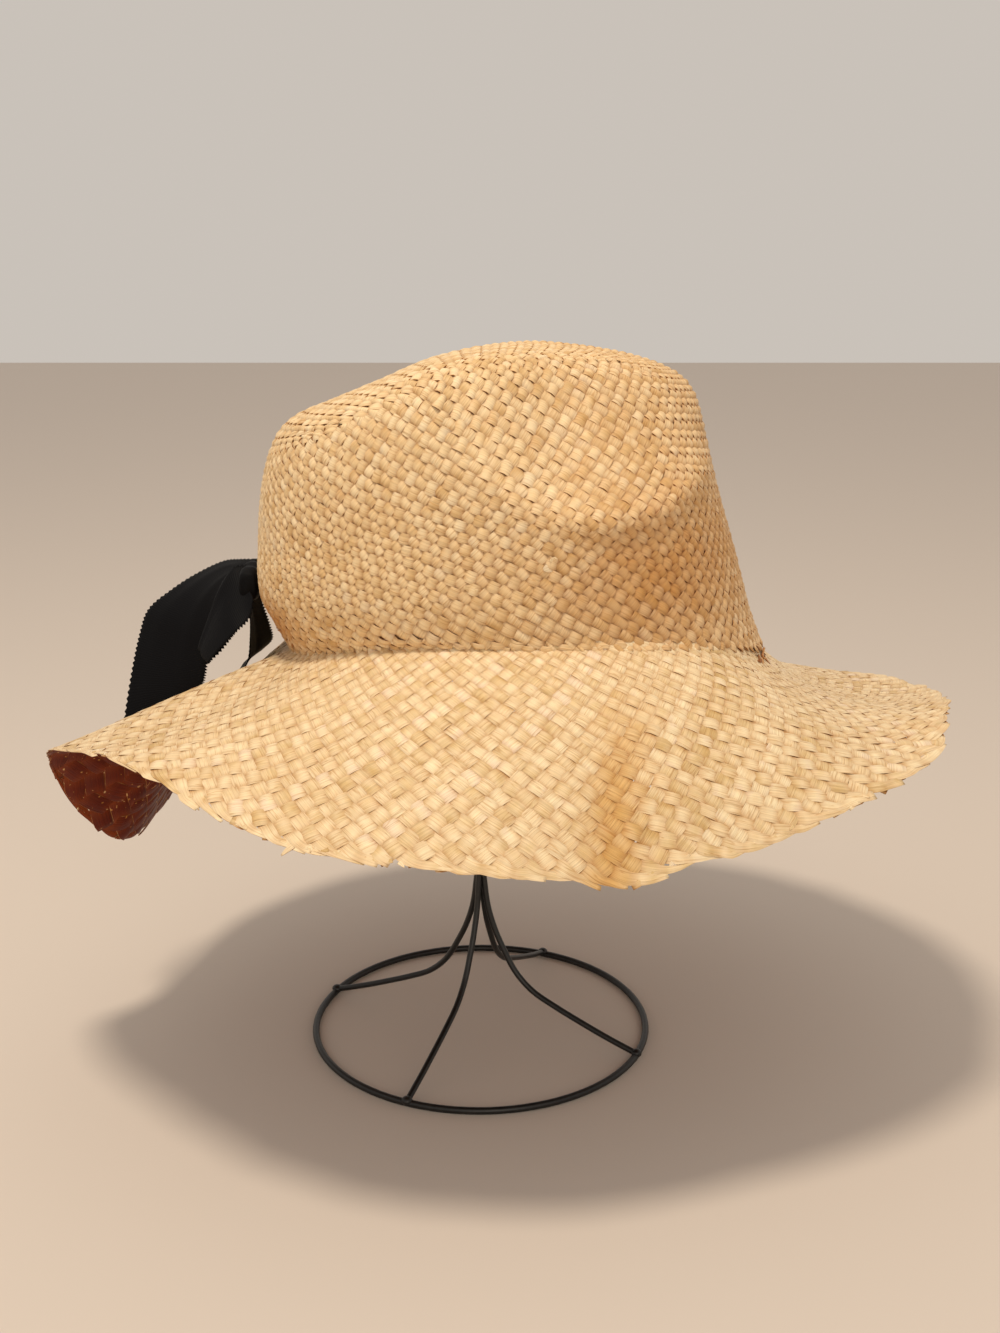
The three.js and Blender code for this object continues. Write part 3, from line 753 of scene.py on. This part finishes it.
def brim_strands(turn):
    """All the brim's strands that lean one way: turn 1 goes out anticlockwise and then lies along
    the rim over the next ones, turn -1 goes out clockwise and ends under them."""
    strands = []
    for start in range(0, BRIM_AROUND, 2):
        tip = chance.uniform(0.9, 1.7) if chance.random() < LONG_TIPS else chance.uniform(0.2, 0.6)
        last = BRIM_ROWS + (RIM_RUN + chance.normal(0, 0.9) if turn > 0 else tip)
        step = np.linspace(-COLLAR_ROWS, last, int(round((last + COLLAR_ROWS) * BRIM_STEPS)) + 1)
        beyond = np.maximum(step - BRIM_ROWS, 0)
        settle = RIM_REACH * np.clip(1 + chance.normal(0, 0.28), 0.4, 1.6)
        row = np.minimum(step, BRIM_ROWS) + settle * (1 - np.exp(-beyond / settle))
        angle, share = on_brim(start + turn * step, row)
        point = brim_straw_point(angle, share)
        normal = outward(brim_straw_point, angle, share, -1)
        beside = brim_straw_point(*on_brim(start + MEASURE + turn * step, row))
        along, apart = strand_gap(point, beside)
        apart = np.clip(apart, 3, 8)
        wave = turn * np.cos(math.pi * step)
        half_width = apart / 2 * (1.06 + chance.normal(0, 0.06) + wander(len(step), 0.05, 8))
        lift = BRIM_LIFT * wave * (1 + wander(len(step), 0.15, 6))
        on_rim = np.clip(beyond / 1.2, 0, 1) * (turn > 0)
        half_width += (chance.uniform(1.8, 2.8) - beyond * 0.5 - half_width) * on_rim
        lift += (chance.uniform(0.35, 0.7) - 0.22 * beyond - lift) * on_rim
        across = np.cross(along, normal)
        stray = wander(len(step), 0.3, 7) * (1 - on_rim) + wander(len(step), 0.5, 5) * on_rim
        line = point + normal * (lift - BRIM_DEPTH)[:, None] + across * stray[:, None]
        half_thickness = np.full(len(step), BRIM_HALF_THICKNESS)
        tint = np.clip(chance.normal(0.55, 0.17), 0, 1)
        brown_and_shade = np.clip(brim_flank_shade(line) + chance.normal(0, 0.05), 0, 1)
        strands.append(strand(line, normal, half_width, half_thickness, FIRST_BRIM + start + turn,
                              tint, (1 - wave) / 2 * (1 - on_rim), brown_and_shade))
    return strands


for turn, part in ((1, "outward_left"), (-1, "outward_right")):
    straw = join_strands("brim_plait_" + part, brim_strands(turn), brim_straw)
    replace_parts(straw, "brim")


# Frayed straw

def loose_end(start, forward, up, length, half_width, curl, number):
    """A torn end of straw that leaves a surface, curls up from it and narrows to its tip."""
    place = np.linspace(0, 1, 7)[:, None]
    sway = np.cross(forward, up) * chance.normal(0, 0.15)
    line = start + (forward * place + up * curl * place**2 + sway * place**2) * length
    normals = up[None] - forward[None] * 2 * curl * place
    taper = half_width * (1 - 0.75 * place[:, 0] ** 2)
    plain = np.zeros(len(place))
    return strand(line, normals, taper, 0.12 + 0.2 * taper, number, chance.random(), plain, plain)


def ends_on(surface, sign, share, angles, length, half_width, curl, lean):
    """Torn ends at angles round the hat, each with its own random size and lean. Lean is the angle
    in degrees from along the edge towards down and out."""
    ends = []
    for angle in angles:
        here = np.radians(np.array([angle - 0.5, angle, angle + 0.5]))
        shares = np.full(3, share + chance.uniform(-0.01, 0.01))
        point = surface(here, shares)
        up = outward(surface, here, shares, sign)[1]
        along = unit(point[2] - point[0]) * chance.choice([-1, 1])
        out = np.cross(along, up)
        out = out * np.sign(np.dot(out, surface(here, shares + sign * -0.01)[1] - point[1]))
        turn = math.radians(chance.uniform(*lean))
        forward = unit(along * math.cos(turn) + out * math.sin(turn))
        ends.append(loose_end(point[1] - up * 0.5, forward, up, chance.uniform(*length),
                              chance.uniform(*half_width), chance.uniform(*curl),
                              FIRST_LOOSE + len(ends)))
    return ends


def random_angles(*ranges):
    """Random angles round the hat, from ranges of a start, an end and a count each."""
    return np.concatenate([chance.uniform(*given) for given in ranges])


rim_angles = random_angles((0, 360, 60), (135, 205, 60), (205, 250, 6))
frayed = ends_on(brim_straw_point, -1, 0.975, rim_angles,
                 (1.5, 3.2), (0.35, 1.0), (-0.3, 0.15), (8, 55))
# One longer straw sticks out of the rim on the near side
frayed += ends_on(brim_straw_point, -1, 0.985, [241], (5, 5), (1.2, 1.2), (-0.2, -0.2), (60, 60))
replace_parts(join_strands("brim_frayed_ends", frayed, brim_straw), "brim")

hem = ends_on(crown_straw_point, 1, -0.03, random_angles((178, 204, 60), (338, 352, 12)),
              (3, 7), (0.5, 1.1), (-0.1, 0.2), (-35, 50))
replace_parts(join_strands("crown_browned_hem", hem, hem_straw), "crown")

# Straws that have lifted off the near side, at an angle and share of the crown each
lifted = []
for angle, share in ((263, 0.118), (264, 0.125), (281, 0.16), (282.5, 0.165)):
    lifted += ends_on(crown_straw_point, 1, share, [angle],
                      (3, 4.5), (1.4, 2.0), (0.3, 0.5), (-20, 20))
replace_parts(join_strands("crown_lifted_straws", lifted, crown_straw), "crown")


# Ribbon bow

# Black woven grosgrain: fine cross ribs that dull the cloth, with a faint light along its folds
grosgrain, shader = new_material("black_grosgrain_ribbon", Roughness=0.6, IOR=1.45)
shader.inputs["Specular IOR Level"].default_value = 0.12
shader.inputs["Base Color"].default_value = linear("#08080B")
# Ribs 0.9 mm apart across the ribbon; real ones are finer than the render shows
grain = add_node(grosgrain, "Attribute", {"attribute_name": "grain"})
ribs = add_node(grosgrain, "TexWave", {"wave_type": "BANDS", "bands_direction": "X"},
                {"Scale": 0.35, "Distortion": 0.3}, {"Vector": grain.outputs["Vector"]})
rib_bump = add_node(grosgrain, "Bump", inputs={"Strength": 0.35, "Distance": 0.2 * MM},
                    links={"Height": ribs.outputs["Fac"]})
grosgrain.node_tree.links.new(rib_bump.outputs["Normal"], shader.inputs["Normal"])

# How far a ribbon's middle bows out, its thickness, and its picot edge: half a tooth and the pitch
RIBBON_BOW_OUT, RIBBON_THICKNESS = 1.5, 0.5
PICOT, PICOT_PITCH = 0.55, 1.7
RIBBON_ACROSS = 17


def ribbon_points(rows, run, at, folds):
    """A ribbon's middle surface through its rows, with picot edges and soft lengthwise folds."""
    edges = read_table(np.column_stack([run, rows]), at)
    far, near = edges[:, :3], edges[:, 3:]
    width = np.linalg.norm(near - far, axis=1)[:, None]
    tooth = PICOT * np.where(np.arange(len(at)) % 2, 1, -1)[:, None] / width
    share = np.linspace(0, 1, RIBBON_ACROSS)[None]
    share = share + tooth * ((share == 1) * 1.0 - (share == 0) * 1.0)
    points = far[:, None] + (near - far)[:, None] * share[..., None]
    points[..., 0] -= RIBBON_BOW_OUT * 4 * share * (1 - share)
    for middle_share, half, height in folds:
        points[..., 0] -= height * np.exp(-(((share - middle_share) / half) ** 2)) \
            * np.clip(at / 12, 0, 1)[:, None]
    return points


def ribbon_piece(name, rows, node, folds):
    """One length of ribbon as cloth. Each fold has a share across it, a half share and a height."""
    rows = np.array(rows, float)
    run = run_along((rows[:, :3] + rows[:, 3:]) / 2)
    length = run[-1]
    steps = int(length / PICOT_PITCH * 2) + 1
    at = np.linspace(0, length, steps)
    points = ribbon_points(rows, run, at, folds)
    width = np.linalg.norm(np.diff(points, axis=1), axis=-1).sum(1)
    i, j = np.meshgrid(np.arange(steps - 1), np.arange(RIBBON_ACROSS - 1), indexing="ij")
    first = (i * RIBBON_ACROSS + j).ravel()
    faces = np.stack([first, first + RIBBON_ACROSS, first + RIBBON_ACROSS + 1, first + 1], -1)
    grain = np.stack([np.repeat(at[:, None], RIBBON_ACROSS, 1),
                      width[:, None] * np.linspace(0, 1, RIBBON_ACROSS)[None],
                      np.zeros((steps, RIBBON_ACROSS))], -1)
    piece = make_piece(name, points.reshape(-1, 3), faces.tolist(), grosgrain,
                       {"grain": grain.reshape(-1, 3)})
    wall = piece.modifiers.new("cloth", "SOLIDIFY")
    wall.thickness, wall.offset = RIBBON_THICKNESS * MM, 0
    bpy.context.view_layer.objects.active = piece
    bpy.ops.object.modifier_apply(modifier=wall.name)
    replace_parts(piece, node)


ribbon_piece("ribbon_tail_broad_cloth", BROAD_TAIL, "ribbon_tail_broad",
             [(0.72, 0.05, 0.7), (0.3, 0.1, 0.6)])
ribbon_piece("ribbon_loop_cloth", LOOP, "ribbon_loop", [(0.12, 0.1, 1.2)])
ribbon_piece("ribbon_tail_short_cloth", SHORT_TAIL, "ribbon_tail_short", [(0.5, 0.1, 0.5)])


def make_knot():
    """The ribbon's tight middle: a pleated band wrapped round the bow."""
    around, along = 48, 25
    turn = np.linspace(0, 2 * math.pi, around, endpoint=False)[:, None]
    share = np.linspace(-1, 1, along)[None]
    full = (1 - np.abs(share) ** 5) ** 0.5 * 0.35 + 0.65
    pleat = 1 + 0.05 * np.sin(share * 9 + 0.5 * np.sin(turn)) * (1 - np.abs(share) ** 3)
    c, s = np.cos(turn), np.sin(turn)
    # Below 1, the power squares off the band's round section
    squared = 0.75
    x = KNOT["x"] - KNOT["depth"] / 2 * np.sign(c) * np.abs(c) ** squared * full * pleat
    z = KNOT["z"] + KNOT["height"] / 2 * np.sign(s) * np.abs(s) ** squared * full * pleat
    y = KNOT["y"] + KNOT["width"] / 2 * share * np.ones_like(turn)
    points = np.stack([x, y, z], -1)
    i, j = np.meshgrid(np.arange(around), np.arange(along - 1), indexing="ij")
    here, after = i * along + j, (i + 1) % around * along + j
    faces = np.stack([here, here + 1, after + 1, after], -1).reshape(-1, 4).tolist()
    first = np.arange(around) * along
    ends = [first.tolist(), (first + along - 1)[::-1].tolist()]
    grain = np.stack([np.repeat(turn * 8, along, 1), np.repeat(share * 14, around, 0),
                      np.zeros((around, along))], -1)
    knot = make_piece("ribbon_knot_cloth", points.reshape(-1, 3), faces + ends, grosgrain,
                      {"grain": grain.reshape(-1, 3)})
    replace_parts(knot, "ribbon_knot")


make_knot()


# Stand

# Black paint on steel wire: it dulls the metal to a soft gleam along each wire
paint, shader = new_material("black_painted_wire", Roughness=0.4, IOR=1.5)
where = add_node(paint, "TexCoord")
# Uneven paint, with bumps about 2 mm across
peel = add_node(paint, "TexNoise", inputs={"Scale": 500.0, "Detail": 2.0},
                links={"Vector": where.outputs["Object"]})
worn = colour_steps(paint, peel.outputs["Fac"], [(0.35, "#0A0A0A"), (0.75, "#1B1A19")])
paint.node_tree.links.new(worn, shader.inputs["Base Color"])
peel_bump = add_node(paint, "Bump", inputs={"Strength": 0.25, "Distance": 0.1 * MM},
                     links={"Height": peel.outputs["Fac"]})
paint.node_tree.links.new(peel_bump.outputs["Normal"], shader.inputs["Normal"])


def bent_wire(points, half):
    """A round wire along points, as a curve with closed ends that becomes a mesh with the rest."""
    line = bpy.data.curves.new("wire", "CURVE")
    line.dimensions, line.bevel_depth, line.bevel_resolution = "3D", half * MM, 4
    line.use_fill_caps = True
    spline = line.splines.new("POLY")
    spline.points.add(len(points) - 1)
    for point, at in zip(spline.points, points):
        point.co = (*(np.array(at) * MM + RING_MIDDLE), 1)
    wire = bpy.data.objects.new("wire", line)
    bpy.context.scene.collection.objects.link(wire)
    return wire


def wire_line(rows, steps):
    """Even steps along a smooth line through rows of radius and height."""
    rows = np.array(rows, float)
    run = run_along(rows)
    return read_table(np.column_stack([run, rows]), np.linspace(0, 1, steps) * run[-1])


def make_stand():
    """The base ring and the hidden head ring, and the four legs that run up through the post."""
    bpy.ops.object.select_all(action="DESELECT")
    parts = []
    for radius, height, wire in ((RING_RADIUS, RING_WIRE / 2, RING_WIRE),
                                 (HEAD_RING_RADIUS, HEAD_RING_HEIGHT, WIRE)):
        bpy.ops.mesh.primitive_torus_add(
            major_radius=radius * MM, minor_radius=wire / 2 * MM,
            major_segments=96, minor_segments=12,
            location=RING_MIDDLE + np.array([0, 0, height * MM]))
        parts.append(bpy.context.object)
    radius, height = np.vstack([wire_line(LEG_LINE, 60), wire_line(HEAD_LINE, 20)]).T
    for leg in range(LEG_COUNT):
        turn = math.radians(FIRST_LEG_ANGLE + 360 / LEG_COUNT * leg)
        points = np.stack([radius * math.cos(turn), radius * math.sin(turn), height], -1)
        parts.append(bent_wire(points, WIRE / 2))
        # A bead of weld where the leg meets the ring
        bpy.ops.mesh.primitive_ico_sphere_add(
            subdivisions=3, radius=2.3 * MM, scale=(1, 1, 0.8),
            location=RING_MIDDLE + MM * np.array([RING_RADIUS * math.cos(turn),
                                                  RING_RADIUS * math.sin(turn), 2.5]))
        parts.append(bpy.context.object)
    bpy.ops.object.select_all(action="DESELECT")
    for part in parts:
        part.select_set(True)
    bpy.context.view_layer.objects.active = parts[0]
    bpy.ops.object.convert(target="MESH")
    bpy.ops.object.join()
    stand = bpy.context.object
    bpy.ops.object.transform_apply(location=True, rotation=True, scale=True)
    bpy.ops.object.shade_smooth()
    stand.name = "wire_hat_stand"
    stand.data.materials.clear()
    stand.data.materials.append(paint)
    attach(stand, "root")
    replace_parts(stand, "wire_stand")


make_stand()
